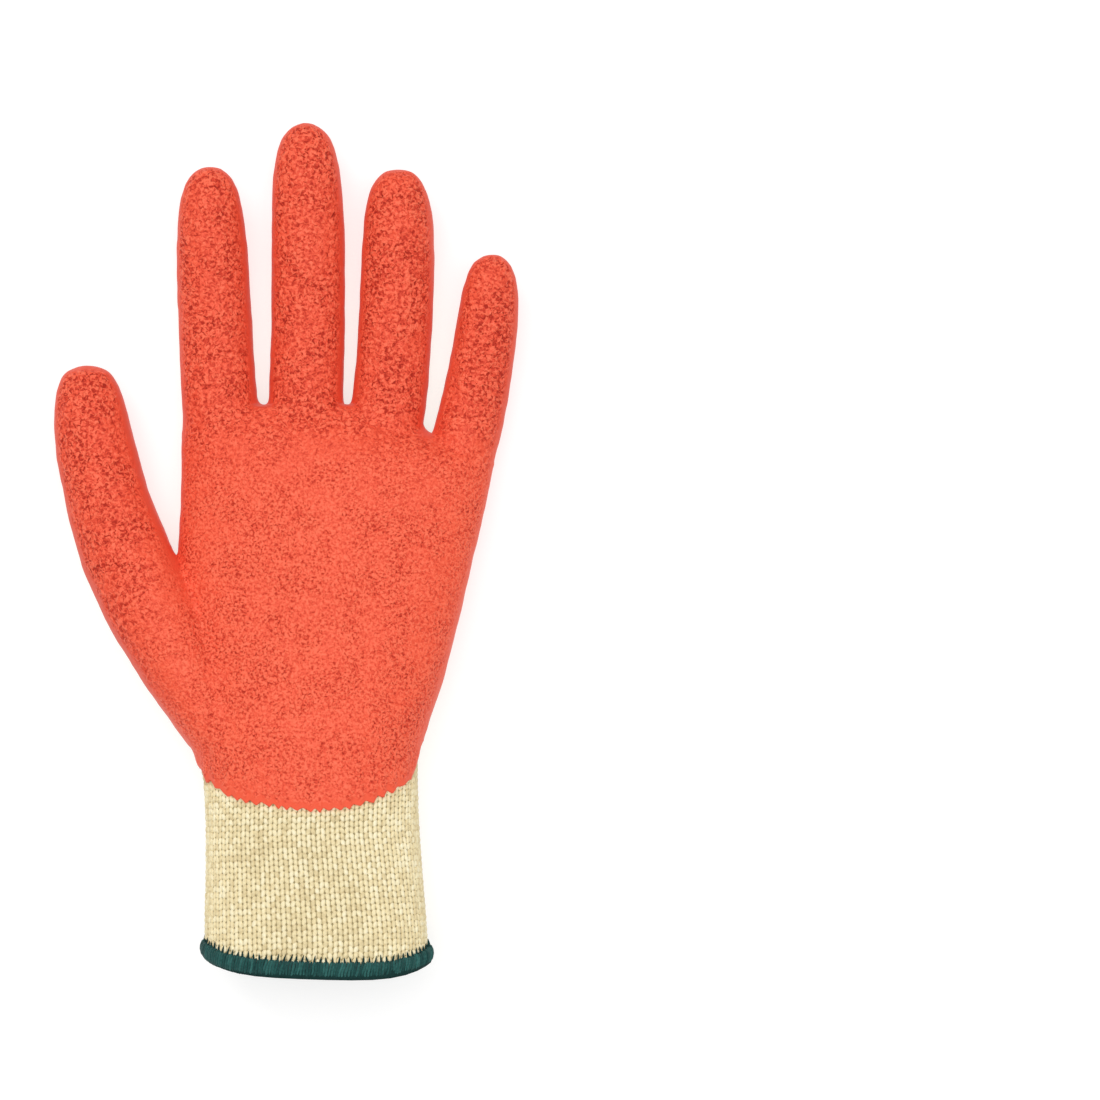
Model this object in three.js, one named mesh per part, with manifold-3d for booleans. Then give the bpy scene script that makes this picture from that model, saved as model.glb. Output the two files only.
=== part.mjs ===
// A left-hand grip glove, lying on its back with the palm up. A seamless knitted hand runs into an
// elastic cuff with an overlocked mouth, and a rubber coat covers the palm, the fingertips and the
// edge of the hand. Millimetres: +Z up, +Y towards the fingertips, the thumb at -X, and the origin on
// the surface under the middle of the glove.
import * as THREE from "three";
import { mergeVertices } from "three/addons/utils/BufferGeometryUtils.js";
import Module from "manifold-3d";

const wasm = await Module();
wasm.setup();

// Walls and gaps
const knitWall = 1.4;
const latexWall = 1.0;
const clearance = 0.3; // between the knit and what covers it
const seamGap = 0.3; // between the hand and the cuff, where one knit changes into the other

// Hand, measured from the wrist line, where the glove is narrowest
const palmLength = 109.5; // wrist line to the crotch between index and middle finger
const wristWidth = 63.2;
const wristDepth = 38;
const knuckleWidth = 92.6;
const knuckleDepth = 23;
const knuckleShift = 7.9; // how far the knuckles lie to the little finger's side of the wrist
const backPress = 0.9; // how far the glove's back is pressed flat by its own weight

// Fingers, measured from a root inside the palm
const indexLength = 80.9;
const indexWidth = 19.6;
const middleLength = 93.7;
const middleWidth = 19.8;
const ringLength = 80.3;
const ringWidth = 19.9;
const littleLength = 61.6;
const littleWidth = 16.8;
const fingerDepth = 16.4;
const littleDepth = 14.8;
const fingerHeight = 11; // height of a finger's middle over the surface at its root
const fingertipRise = 10; // how far the dipped fingers curl up towards the palm side

// Thumb, measured from a root beside the wrist
const thumbLength = 114.9;
const thumbReach = 46.7;
const thumbWidth = 21.9;
const thumbDepth = 19.6;
const thumbRootSide = 19.3;
const thumbRootRise = 7;
const thumbHeight = 17;

// Cuff and its overlocked mouth
const cuffLength = 56.1;
const mouthWidth = 65.8;
const mouthDepth = 42;
const mouthShift = 2.2; // the cuff leans this far to the little finger's side
const mouthBow = 3.7; // the mouth hangs this much lower at its front and back than at its sides
const mouthTilt = 2.1; // and this much lower at the little finger's side than at the thumb's
const hemHeight = 3.7;
const hemThread = 1.1;

// How finely the outlines are drawn
const palmSides = 32;
const fingerSides = 14;
const thumbSides = 16;
const edgeSteps = 24;
const palmRoundness = 2.25; // exponent of a section's outline: 2 is an ellipse, more is boxier
const fingerRoundness = 2.15;
const bowSharpness = 4.5; // exponent of the mouth's bow: the higher, the nearer it keeps to the sides
const beyond = 60; // how far a cutting block runs past what it cuts

// Sections of the cuff: along is a share of the cuff's length from the wrist, and flare says how far
// the section has changed from the wrist's size to the mouth's. The first lies past the mouth, where
// the knit is cut off.
const cuffRows = [
  { along: 1.12, flare: 1.04 },
  { along: 0.97, flare: 1 },
  { along: 0.76, flare: 0.8 },
  { along: 0.5, flare: 0.3 },
  { along: 0.24, flare: -0.1 },
];

// Sections of the palm: along is a share of the palm's length, shift of the knuckles' shift, and
// widen and thin say how far width and depth have changed from the wrist's to the knuckles'.
const palmRows = [
  { along: 0, shift: 0, widen: 0, thin: 0 },
  { along: 0.09, shift: -0.11, widen: 0.07, thin: 0.04 },
  { along: 0.17, shift: -0.04, widen: 0.19, thin: 0.11 },
  { along: 0.28, shift: 0.12, widen: 0.38, thin: 0.25 },
  { along: 0.43, shift: 0.29, widen: 0.58, thin: 0.39 },
  { along: 0.58, shift: 0.47, widen: 0.74, thin: 0.5 },
  { along: 0.73, shift: 0.78, widen: 0.84, thin: 0.62 },
  { along: 0.86, shift: 0.98, widen: 0.93, thin: 0.78 },
  { along: 0.935, shift: -0.37, widen: 0.29, thin: 0.95 },
  { along: 1, shift: -0.45, widen: 0.14, thin: 1.2 },
];

// Sections of a finger: along is a share of its length, width and depth of its own width and depth,
// and rise of the fingertips' rise.
const fingerRows = [
  { along: 0, width: 0.88, depth: 0.98, rise: 0 },
  { along: 0.15, width: 1, depth: 1.06, rise: 0.01 },
  { along: 0.32, width: 1, depth: 1, rise: 0.05 },
  { along: 0.52, width: 1.01, depth: 1, rise: 0.18 },
  { along: 0.7, width: 1, depth: 0.98, rise: 0.38 },
  { along: 0.82, width: 0.95, depth: 0.92, rise: 0.55 },
  { along: 0.9, width: 0.84, depth: 0.81, rise: 0.69 },
  { along: 0.955, width: 0.67, depth: 0.65, rise: 0.79 },
  { along: 0.988, width: 0.41, depth: 0.4, rise: 0.86 },
  { along: 1, width: 0, depth: 0, rise: 0.89 },
];

// Sections of the thumb, from the ball of the thumb to its tip: reach is a share of the thumb's reach
// to the side, and rise of its height over the surface.
const thumbRows = [
  { along: 0, reach: 0, width: 0.84, depth: 1.2, rise: 1.14 },
  { along: 0.095, reach: 0.168, width: 0.94, depth: 1.3, rise: 1.12 },
  { along: 0.235, reach: 0.39, width: 1.05, depth: 1.36, rise: 1.08 },
  { along: 0.389, reach: 0.605, width: 1.13, depth: 1.31, rise: 1.04 },
  { along: 0.529, reach: 0.763, width: 1.12, depth: 1.16, rise: 1 },
  { along: 0.66, reach: 0.872, width: 1.03, depth: 1.02, rise: 0.98 },
  { along: 0.783, reach: 0.943, width: 0.99, depth: 0.97, rise: 0.98 },
  { along: 0.875, reach: 0.977, width: 0.9, depth: 0.88, rise: 1 },
  { along: 0.94, reach: 0.992, width: 0.77, depth: 0.73, rise: 1.03 },
  { along: 0.983, reach: 0.999, width: 0.55, depth: 0.51, rise: 1.05 },
  { along: 1, reach: 1, width: 0, depth: 0, rise: 1.06 },
];

// The fingers: across is a share of half the knuckles' width, root a share of the palm's length, lean
// an angle in degrees to the little finger's side, bend how far the finger's middle bows to that side
// as a share of its width, and taper how much wider the root is than the tip. Each one's bare rows are
// the uncoated knit on its back, an arch whose left and right limits are shares of half the finger's
// width. Past 1 the knit reaches the finger's side.
const fingers = [
  {
    length: indexLength, width: indexWidth, depth: fingerDepth,
    across: -0.744, root: 0.905, lean: -2.2, bend: -0.035, taper: 0.14,
    bare: [
      { along: -0.1, left: -1.4, right: 0.8 },
      { along: 0.16, left: -1.4, right: 0.8 },
      { along: 0.32, left: -1.4, right: 0.76 },
      { along: 0.46, left: -1.4, right: 0.44 },
      { along: 0.55, left: -0.86, right: 0.24 },
      { along: 0.67, left: -0.32, right: -0.28 },
    ],
  },
  {
    length: middleLength, width: middleWidth, depth: fingerDepth,
    across: -0.223, root: 0.905, lean: 0.5, bend: 0.05, taper: 0.05,
    bare: [
      { along: -0.1, left: -1.4, right: 0.96 },
      { along: 0.3, left: -1.4, right: 0.92 },
      { along: 0.5, left: -0.93, right: 0.93 },
      { along: 0.6, left: -0.82, right: 0.77 },
      { along: 0.68, left: -0.51, right: 0.46 },
      { along: 0.75, left: -0.03, right: 0.03 },
    ],
  },
  {
    length: ringLength, width: ringWidth, depth: fingerDepth,
    across: 0.291, root: 0.905, lean: 3, bend: 0.075, taper: 0.04,
    bare: [
      { along: -0.1, left: -0.97, right: 1.4 },
      { along: 0.2, left: -0.95, right: 1.4 },
      { along: 0.35, left: -0.74, right: 1.4 },
      { along: 0.48, left: -0.57, right: 1.1 },
      { along: 0.61, left: -0.24, right: 0.8 },
      { along: 0.72, left: 0.3, right: 0.34 },
    ],
  },
  {
    length: littleLength, width: littleWidth, depth: littleDepth,
    across: 0.765, root: 0.852, lean: 9.5, bend: 0.11, taper: 0.2,
    bare: [
      { along: -0.1, left: -1.4, right: 0 },
      { along: 0.2, left: -1.4, right: 0.16 },
      { along: 0.36, left: -1.4, right: 0.15 },
      { along: 0.48, left: -1.4, right: 0 },
      { along: 0.58, left: -1, right: -0.28 },
      { along: 0.65, left: -0.64, right: -0.6 },
    ],
  },
];

// The uncoated back of the thumb, as for a finger.
const thumbBare = [
  { along: -0.02, left: -1.5, right: 1.2 },
  { along: 0.43, left: -1.5, right: 1.2 },
  { along: 0.475, left: -1.5, right: 0.3 },
  { along: 0.5, left: -1.5, right: 0.12 },
  { along: 0.56, left: -1.5, right: 0.08 },
  { along: 0.62, left: -1.5, right: -0.06 },
  { along: 0.69, left: -1.5, right: -0.27 },
  { along: 0.75, left: -1.4, right: -0.54 },
  { along: 0.785, left: -0.84, right: -0.8 },
];

// The uncoated back of the hand, limits as shares of half the palm's width.
const palmBare = [
  { along: -0.3, left: -1.5, right: 1.4 },
  { along: 0.08, left: -1.5, right: 1.4 },
  { along: 0.11, left: -1.5, right: 0.99 },
  { along: 0.27, left: -1.3, right: 0.95 },
  { along: 0.4, left: -1.2, right: 0.87 },
  { along: 0.5, left: -1.2, right: 0.82 },
  { along: 0.56, left: -1, right: 0.79 },
  { along: 0.66, left: -1, right: 0.76 },
  { along: 0.7, left: -1.04, right: 0.75 },
  { along: 0.81, left: -1.08, right: 0.75 },
  { along: 0.86, left: -1.1, right: 0.77 },
  { along: 0.935, left: -1.2, right: 0.86 },
  { along: 1.03, left: -1.2, right: 1.2 },
];

// The coat's lower edge across the palm: side is a share of half the wrist's width, and along of the
// palm's length, negative below the wrist line.
const dipRows = [
  { side: -1.3, along: 0.16 },
  { side: -1.05, along: 0.067 },
  { side: -0.89, along: 0 },
  { side: -0.75, along: -0.03 },
  { side: -0.45, along: -0.0485 },
  { side: 0.08, along: -0.065 },
  { side: 0.47, along: -0.054 },
  { side: 0.71, along: -0.027 },
  { side: 0.88, along: -0.003 },
  { side: 0.96, along: 0.046 },
  { side: 1.05, along: 0.127 },
  { side: 1.3, along: 0.2 },
];

// The hem's cut: out is a share of the thread's thickness from the knit, negative on the inner side,
// and rise a share of the hem's height over the knit's raw edge, or below it of the thread.
const hemRows = [
  { out: 0.45, rise: 1 },
  { out: 0.95, rise: 0.82 },
  { out: 1.1, rise: 0.45 },
  { out: 0.9, rise: 0.06 },
  { out: 0.3, rise: -0.9 },
  { out: -0.3, rise: -0.9 },
  { out: -0.9, rise: 0.06 },
  { out: -1.1, rise: 0.45 },
  { out: -0.95, rise: 0.82 },
  { out: -0.45, rise: 1 },
];

const knitMaterial = new THREE.MeshStandardMaterial({ color: 0xe6d6a4, roughness: 0.95, metalness: 0 });
const cuffMaterial = new THREE.MeshStandardMaterial({ color: 0xeadcb0, roughness: 0.95, metalness: 0 });
const latexMaterial = new THREE.MeshStandardMaterial({ color: 0xe8553c, roughness: 0.6, metalness: 0 });
const threadMaterial = new THREE.MeshStandardMaterial({ color: 0x1e5550, roughness: 0.85, metalness: 0 });

const { lerp, degToRad, clamp } = THREE.MathUtils;
const up = new THREE.Vector3(0, 0, 1);
const forward = new THREE.Vector3(0, 1, 0); // from the cuff's mouth to the fingertips

// A rounded cosine or sine, which draws a superellipse where both are used.
const rounded = (value, roundness) => Math.sign(value) * Math.abs(value) ** (2 / roundness);

const ringAngle = (step, steps) => (2 * Math.PI * (step + 0.5)) / steps;

// A closed mesh through rings of points, with each end closed to its middle.
function loft(rings) {
  const sides = rings[0].length;
  const middle = (ring) => ring.reduce((sum, p) => sum.add(p), new THREE.Vector3()).divideScalar(sides);
  const points = [...rings.flat(), middle(rings[0]), middle(rings.at(-1))];
  const startPole = points.length - 2;
  const endPole = points.length - 1;
  const lastRow = (rings.length - 1) * sides;
  const index = [];
  for (let j = 0; j < sides; j++) {
    const k = (j + 1) % sides;
    for (let row = 0; row < lastRow; row += sides) {
      index.push(row + j, row + sides + j, row + k);
      index.push(row + k, row + sides + j, row + sides + k);
    }
    index.push(startPole, j, k);
    index.push(endPole, lastRow + k, lastRow + j);
  }
  return new THREE.BufferGeometry().setFromPoints(points).setIndex(index);
}

// A three.js geometry as a solid that can be joined and cut.
function solid(geometry) {
  const bare = geometry.clone();
  bare.deleteAttribute("normal");
  bare.deleteAttribute("uv");
  const merged = mergeVertices(bare, 1e-3);
  return new wasm.Manifold(
    new wasm.Mesh({
      numProp: 3,
      vertProperties: new Float32Array(merged.attributes.position.array),
      triVerts: new Uint32Array(merged.index.array),
    }),
  );
}

function meshOf(name, body, material) {
  const { vertProperties, triVerts } = body.getMesh();
  const geometry = new THREE.BufferGeometry()
    .setAttribute("position", new THREE.BufferAttribute(vertProperties, 3))
    .setIndex(new THREE.BufferAttribute(triVerts, 1));
  geometry.computeVertexNormals();
  const mesh = new THREE.Mesh(geometry, material);
  mesh.name = name;
  return mesh;
}

// Gives each station the direction of the smooth line through all of them.
function directed(stations) {
  const line = new THREE.CatmullRomCurve3(stations.map((station) => station.centre));
  return stations.map((station, i) => ({
    ...station,
    direction: line.getTangent(i / (stations.length - 1)),
  }));
}

// The two ways across a station: side lies in the surface's plane, and over stands up from it.
function across(station) {
  const side = new THREE.Vector3().crossVectors(station.direction, up).normalize();
  const over = new THREE.Vector3().crossVectors(side, station.direction).normalize();
  return { side, over };
}

function sectionRing(station, sides, roundness) {
  const { side, over } = across(station);
  return Array.from({ length: sides }, (_, j) => {
    const angle = ringAngle(j, sides);
    return station.centre
      .clone()
      .addScaledVector(side, station.halfWidth * rounded(Math.cos(angle), roundness))
      .addScaledVector(over, station.halfDepth * rounded(Math.sin(angle), roundness));
  });
}

// A limb's solid with its skin moved out by offset, or in where that is negative, and pressed flat
// where it meets the surface. A last station of no size is the loft's own end point.
function limb(stations, sides, roundness, offset) {
  const rings = stations
    .filter((station) => station.halfWidth > 0)
    .map((station) => sectionRing(station, sides, roundness));
  const mesh = loft(rings);
  const { position } = mesh.attributes;
  const tip = stations.at(-1);
  if (tip.halfWidth === 0) position.setXYZ(position.count - 1, tip.centre.x, tip.centre.y, tip.centre.z);
  mesh.computeVertexNormals();
  const { normal } = mesh.attributes;
  for (let i = 0; i < position.count; i++) {
    position.setXYZ(
      i,
      position.getX(i) + offset * normal.getX(i),
      position.getY(i) + offset * normal.getY(i),
      Math.max(position.getZ(i) + offset * normal.getZ(i), -offset),
    );
  }
  return solid(mesh);
}

// Stations of the cuff and the palm, from past the mouth to the knuckles. Along runs from the wrist
// line, in palm lengths. The mouth stands clear of the surface by the hem's thickness.
const hemProud = clearance + 1.1 * hemThread;
const rawEdge = cuffLength - hemProud;

function cuffStation({ along, flare }) {
  const halfDepth = lerp(wristDepth, mouthDepth, flare) / 2;
  const lift = lerp(-backPress, hemProud, clamp(flare, 0, 1));
  return {
    along: (-rawEdge * along) / palmLength,
    direction: forward,
    centre: new THREE.Vector3(mouthShift * along, -rawEdge * along, halfDepth + lift),
    halfWidth: lerp(wristWidth, mouthWidth, flare) / 2,
    halfDepth,
  };
}

function palmStation({ along, shift, widen, thin }) {
  const halfDepth = lerp(wristDepth, knuckleDepth, thin) / 2;
  return {
    along,
    direction: forward,
    centre: new THREE.Vector3(knuckleShift * shift, palmLength * along, halfDepth - backPress),
    halfWidth: lerp(wristWidth, knuckleWidth, widen) / 2,
    halfDepth,
  };
}

function fingerStation(finger, row) {
  const lean = degToRad(finger.lean);
  const reach = finger.length * row.along;
  const bow = 4 * finger.bend * finger.width * row.along * (1 - row.along);
  const taper = 1 + finger.taper * (0.5 - row.along);
  return {
    along: row.along,
    centre: new THREE.Vector3(
      knuckleShift + (finger.across * knuckleWidth) / 2 + reach * Math.sin(lean) + bow,
      palmLength * finger.root + reach * Math.cos(lean),
      fingerHeight + fingertipRise * row.rise,
    ),
    halfWidth: (finger.width * row.width * taper) / 2,
    halfDepth: (finger.depth * row.depth * taper) / 2,
  };
}

function thumbStation(row) {
  return {
    along: row.along,
    centre: new THREE.Vector3(
      -thumbRootSide - thumbReach * row.reach,
      thumbRootRise + thumbLength * row.along,
      thumbHeight * row.rise,
    ),
    halfWidth: (thumbWidth * row.width) / 2,
    halfDepth: (thumbDepth * row.depth) / 2,
  };
}

const trunkLine = [...cuffRows.map(cuffStation), ...palmRows.map(palmStation)];
const thumbLine = directed(thumbRows.map(thumbStation));
const fingerLines = fingers.map((finger) => directed(fingerRows.map((row) => fingerStation(finger, row))));

// The whole hand and cuff as one solid, its skin moved by offset.
function gloveBody(offset) {
  const limbs = [
    limb(trunkLine, palmSides, palmRoundness, offset),
    limb(thumbLine, thumbSides, fingerRoundness, offset),
    ...fingerLines.map((line) => limb(line, fingerSides, fingerRoundness, offset)),
  ];
  return limbs.reduce((sum, part) => sum.add(part));
}

// A station between those of a line, or past its ends along the end's direction.
function stationAt(line, along) {
  const found = line.findIndex((station) => station.along > along);
  const next = found < 1 ? (found === 0 ? 1 : line.length - 1) : found;
  const from = line[next - 1];
  const to = line[next];
  const share = (along - from.along) / (to.along - from.along);
  return {
    centre: from.centre.clone().lerp(to.centre, share),
    direction: from.direction.clone().lerp(to.direction, clamp(share, 0, 1)).normalize(),
    halfWidth: lerp(from.halfWidth, to.halfWidth, clamp(share, 0, 1)),
    halfDepth: lerp(from.halfDepth, to.halfDepth, clamp(share, 0, 1)),
  };
}

// The block that clears the coat off the back of a limb, from the limb's middle height down.
function bareBlock(line, rows) {
  const coatOut = clearance + latexWall;
  return solid(
    loft(
      rows.map(({ along, left, right }) => {
        const station = stationAt(line, along);
        const { side } = across(station);
        const reach = station.halfWidth + coatOut;
        const top = station.centre;
        const corner = (share, drop) =>
          top.clone().addScaledVector(side, share * reach).addScaledVector(up, -drop);
        return [corner(right, beyond), corner(right, 0), corner(left, 0), corner(left, beyond)];
      }),
    ),
  );
}

// A block below a line across the glove, given as points from the thumb's side to the other, and as
// deep and high as the glove.
function blockBelow(line) {
  const low = Math.min(...line.map((point) => point.y)) - beyond;
  const outline = new THREE.Shape([
    ...line,
    new THREE.Vector2(line.at(-1).x, low),
    new THREE.Vector2(line[0].x, low),
  ]);
  const block = new THREE.ExtrudeGeometry(outline, { depth: 2 * beyond, bevelEnabled: false });
  return solid(block.translate(0, 0, -beyond));
}

// Height of the knit's raw edge along the cuff, at a share of half the mouth's width to the side.
function mouthEdge(side) {
  return -rawEdge + mouthBow * Math.abs(side) ** bowSharpness - (mouthTilt * side) / 2;
}

function mouthBlock() {
  const past = 1.1; // how far the cut runs past the cuff's sides, as a share of half its width
  const line = Array.from({ length: edgeSteps + 1 }, (_, i) => {
    const side = past * Math.sin(Math.PI * (i / edgeSteps - 0.5));
    return new THREE.Vector2(mouthShift + (side * mouthWidth) / 2, mouthEdge(side));
  });
  return blockBelow(line);
}

function dipBlock() {
  const points = dipRows.map(
    ({ side, along }) => new THREE.Vector2((side * wristWidth) / 2, along * palmLength),
  );
  const line = new THREE.SplineCurve(points).getPoints(edgeSteps);
  const last = new THREE.Vector2(line.at(-1).x + beyond, line.at(-1).y);
  const first = new THREE.Vector2(line[0].x - beyond, line[0].y);
  return blockBelow([first, ...line, last]);
}

// A flat block of the whole glove's breadth, from one place along the glove to another.
function slice(from, to) {
  const box = new THREE.BoxGeometry(2 * knuckleWidth, to - from, 2 * beyond);
  return solid(box.translate(0, (from + to) / 2, 0));
}

// Knitted hand and cuff: one tube of knit, parted at the wrist line.
function knit() {
  const tube = gloveBody(0).subtract(gloveBody(-knitWall));
  const farEnd = palmLength + middleLength + beyond;
  const hand = tube.subtract(slice(-cuffLength - beyond, seamGap / 2));
  const cuff = tube.subtract(slice(-seamGap / 2, farEnd)).subtract(mouthBlock());
  return { hand, cuff };
}

function coat() {
  const skin = gloveBody(clearance + latexWall).subtract(gloveBody(clearance));
  const bare = [
    bareBlock(trunkLine, palmBare),
    bareBlock(thumbLine, thumbBare),
    ...fingers.map((finger, i) => bareBlock(fingerLines[i], finger.bare)),
  ].reduce((sum, block) => sum.add(block));
  return skin.subtract(bare).subtract(dipBlock());
}

// The hem's ring, wrapped round the cuff's raw edge inside and out.
function hem() {
  const mouth = stationAt(trunkLine, -rawEdge / palmLength);
  const { side, over } = across(mouth);
  const cut = ({ out, rise }) => ({
    out: out > 0 ? clearance + hemThread * out : hemThread * out - clearance - knitWall,
    rise: rise > 0 ? hemHeight * rise : hemThread * rise - clearance,
  });
  const inner = [
    { out: -knitWall - clearance, rise: hemHeight },
    { out: -knitWall - clearance, rise: -clearance },
    { out: clearance, rise: -clearance },
    { out: clearance, rise: hemHeight },
  ];
  const profile = [...hemRows.map(cut), ...inner];
  const sections = Array.from({ length: palmSides }, (_, j) => {
    const sideShare = rounded(Math.cos(ringAngle(j, palmSides)), palmRoundness);
    const overShare = rounded(Math.sin(ringAngle(j, palmSides)), palmRoundness);
    const slope = (share) => Math.sign(share) * Math.abs(share) ** (palmRoundness - 1);
    const outward = new THREE.Vector3()
      .addScaledVector(side, slope(sideShare) / mouth.halfWidth)
      .addScaledVector(over, slope(overShare) / mouth.halfDepth)
      .normalize();
    return profile.map(({ out, rise }) => {
      const edge = mouthEdge(sideShare + (out * outward.x) / mouth.halfWidth);
      const station = stationAt(trunkLine, (edge + rise) / palmLength);
      const point = station.centre
        .addScaledVector(side, station.halfWidth * sideShare)
        .addScaledVector(over, station.halfDepth * overShare)
        .addScaledVector(outward, out);
      point.z = Math.max(point.z, 0);
      return point;
    });
  });
  return solid(closedRing(sections));
}

// A closed ring through sections that follow one another round a loop.
function closedRing(sections) {
  const count = sections[0].length;
  const index = [];
  sections.forEach((_, i) => {
    const here = i * count;
    const next = ((i + 1) % sections.length) * count;
    for (let j = 0; j < count; j++) {
      const k = (j + 1) % count;
      index.push(here + j, next + j, here + k);
      index.push(here + k, next + j, next + k);
    }
  });
  return new THREE.BufferGeometry().setFromPoints(sections.flat()).setIndex(index);
}

const { hand, cuff } = knit();
const glove = new THREE.Group();
glove.add(meshOf("knit_liner", hand, knitMaterial));
glove.add(meshOf("elastic_cuff", cuff, cuffMaterial));
glove.add(meshOf("latex_coat", coat(), latexMaterial));
glove.add(meshOf("overlock_hem", hem(), threadMaterial));

// The origin lies under the middle of the glove.
const middle = new THREE.Box3().setFromObject(glove).getCenter(new THREE.Vector3());
glove.position.set(-middle.x, -middle.y, 0);

const group = new THREE.Group();
group.add(glove);

export default group;
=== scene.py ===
# %% [markdown]
# # A coated grip glove
# A work glove of this kind is knitted in one piece, drawn over a hand-shaped former and dipped in liquid
# rubber, which sets as a coat with a crinkled grip. Here it lies on its back with the palm up. The packed
# solids are the frame: they give the size and the place of everything that is made here. All lengths are
# in metres, and mm turns millimetres into metres.

import math

import bmesh
import bpy
import numpy as np
from mathutils import Matrix, Vector, kdtree, noise
from mathutils.bvhtree import BVHTree


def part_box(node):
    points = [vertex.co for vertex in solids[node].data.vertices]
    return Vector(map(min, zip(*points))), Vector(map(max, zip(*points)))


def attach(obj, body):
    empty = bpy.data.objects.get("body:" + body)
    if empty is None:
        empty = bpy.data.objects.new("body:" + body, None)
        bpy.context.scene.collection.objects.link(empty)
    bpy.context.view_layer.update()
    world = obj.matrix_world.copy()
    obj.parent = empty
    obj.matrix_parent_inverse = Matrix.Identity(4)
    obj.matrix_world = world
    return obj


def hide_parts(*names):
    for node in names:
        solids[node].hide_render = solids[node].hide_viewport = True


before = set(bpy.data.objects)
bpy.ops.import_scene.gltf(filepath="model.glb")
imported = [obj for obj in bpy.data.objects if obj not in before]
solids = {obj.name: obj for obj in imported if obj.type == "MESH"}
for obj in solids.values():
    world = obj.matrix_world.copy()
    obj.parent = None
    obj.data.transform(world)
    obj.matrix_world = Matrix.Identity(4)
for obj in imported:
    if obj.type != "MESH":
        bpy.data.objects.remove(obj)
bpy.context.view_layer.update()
mm = 0.001
print("solids:", sorted(solids))

# %% [markdown]
# ## Measures of the solids
# The wrist line and the line of the cuff's mouth are used again and again below, for the walls, the
# stitches and the hem. The mouth isn't cut straight: it hangs lower at the front and the back than at its
# two sides, and it tilts a little, so its height is a function of the place across the glove.

# %% Wrist and mouth
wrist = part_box("knit_liner")[0][1]
cuff_low, cuff_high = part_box("elastic_cuff")
mouth_middle = (cuff_low[0] + cuff_high[0]) / 2
mouth_half = 32.9 * mm
mouth_bow = 3.7 * mm  # the mouth lies this much higher at its two sides
mouth_tilt = 2.1 * mm  # and this much lower at the little finger's side than at the thumb's
bow_sharpness = 4.5
raw_edge = wrist - 54.74 * mm


def mouth_line(x):
    """Where the knit's raw edge lies along the glove"""
    side = (x - mouth_middle) / mouth_half
    return raw_edge + mouth_bow * abs(side) ** bow_sharpness - mouth_tilt * side / 2


def smoothstep(low, high, value):
    """0 below low, 1 above high, and smooth between them"""
    share = min(1, max(0, (value - low) / (high - low)))
    return share * share * (3 - 2 * share)


print("wrist at", round(wrist / mm, 2), "raw edge at", round(raw_edge / mm, 2), "mm")

# %% [markdown]
# ## One smooth skin
# The solids have flat facets, and cloth has none. Each tube's outside is cut free and closed at its
# ends, and a voxel remesh then joins the hand and the cuff into one even skin, which also webs the
# places between the fingers as real knit does. A few smoothing passes take the facets out.

# %% Helpers for solids
weld_gap = 0.002 * mm


def merged_copy(name):
    """A solid's mesh with its loose triangles joined up"""
    bm = bmesh.new()
    bm.from_mesh(solids[name].data)
    bmesh.ops.remove_doubles(bm, verts=bm.verts[:], dist=weld_gap)
    bm.normal_update()
    return bm


def islands(bm):
    """The sets of faces that hang together, the largest first"""
    left = set(bm.faces)
    found = []
    while left:
        island = {left.pop()}
        to_visit = list(island)
        while to_visit:
            face = to_visit.pop()
            near = {other for edge in face.edges for other in edge.link_faces} & left
            left -= near
            island |= near
            to_visit += near
        found.append(island)
    return sorted(found, key=lambda faces: -sum(face.calc_area() for face in faces))


def outer_shell(name, is_rim, shift):
    """The outside of a tube, with its open ends moved along the glove by shift and closed"""
    bm = merged_copy(name)
    rim = [face for face in bm.faces if is_rim(face)]
    bmesh.ops.delete(bm, geom=rim, context="FACES")
    outside = islands(bm)[0]
    rest = [face for face in bm.faces if face not in outside]
    bmesh.ops.delete(bm, geom=rest, context="FACES")
    ends = [edge for edge in bm.edges if len(edge.link_faces) == 1]
    end_verts = list({vert for edge in ends for vert in edge.verts})
    bmesh.ops.translate(bm, verts=end_verts, vec=(0, shift, 0))
    bmesh.ops.holes_fill(bm, edges=ends, sides=0)
    return bm


# %% Shells of the hand and the cuff
seam_sink = 0.6 * mm  # how far the hand's closed end is pushed into the cuff, so that they join
flat_end = 0.01 * mm
end_turn = 0.5


def hand_rim(face):
    """Whether a face of the hand is part of its open end at the wrist"""
    return all(abs(vert.co.y - wrist) < flat_end for vert in face.verts)


def cuff_rim(face):
    """Whether a face of the cuff is part of one of its ends"""
    return abs(face.normal.y) > end_turn


hand_shell = outer_shell("knit_liner", hand_rim, -seam_sink)
cuff_shell = outer_shell("elastic_cuff", cuff_rim, 0)
print("hand:", len(hand_shell.faces), "faces, cuff:", len(cuff_shell.faces), "faces")

# %% The skin
skin_voxel = 1.3 * mm
skin_passes = 12


def finished(obj):
    """An object with its modifiers applied and its faces shaded smooth"""
    graph = bpy.context.evaluated_depsgraph_get()
    mesh = bpy.data.meshes.new_from_object(obj.evaluated_get(graph))
    obj.modifiers.clear()
    obj.data = mesh
    obj.data.shade_smooth()
    return obj


def placed(name, data):
    """A mesh or a curve as an object of the scene"""
    obj = bpy.data.objects.new(name, data)
    bpy.context.scene.collection.objects.link(obj)
    return obj


def piece(name, bm):
    """A bmesh as a smooth object of the scene"""
    mesh = bpy.data.meshes.new(name)
    bm.to_mesh(mesh)
    bm.free()
    mesh.shade_smooth()
    return placed(name, mesh)


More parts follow.
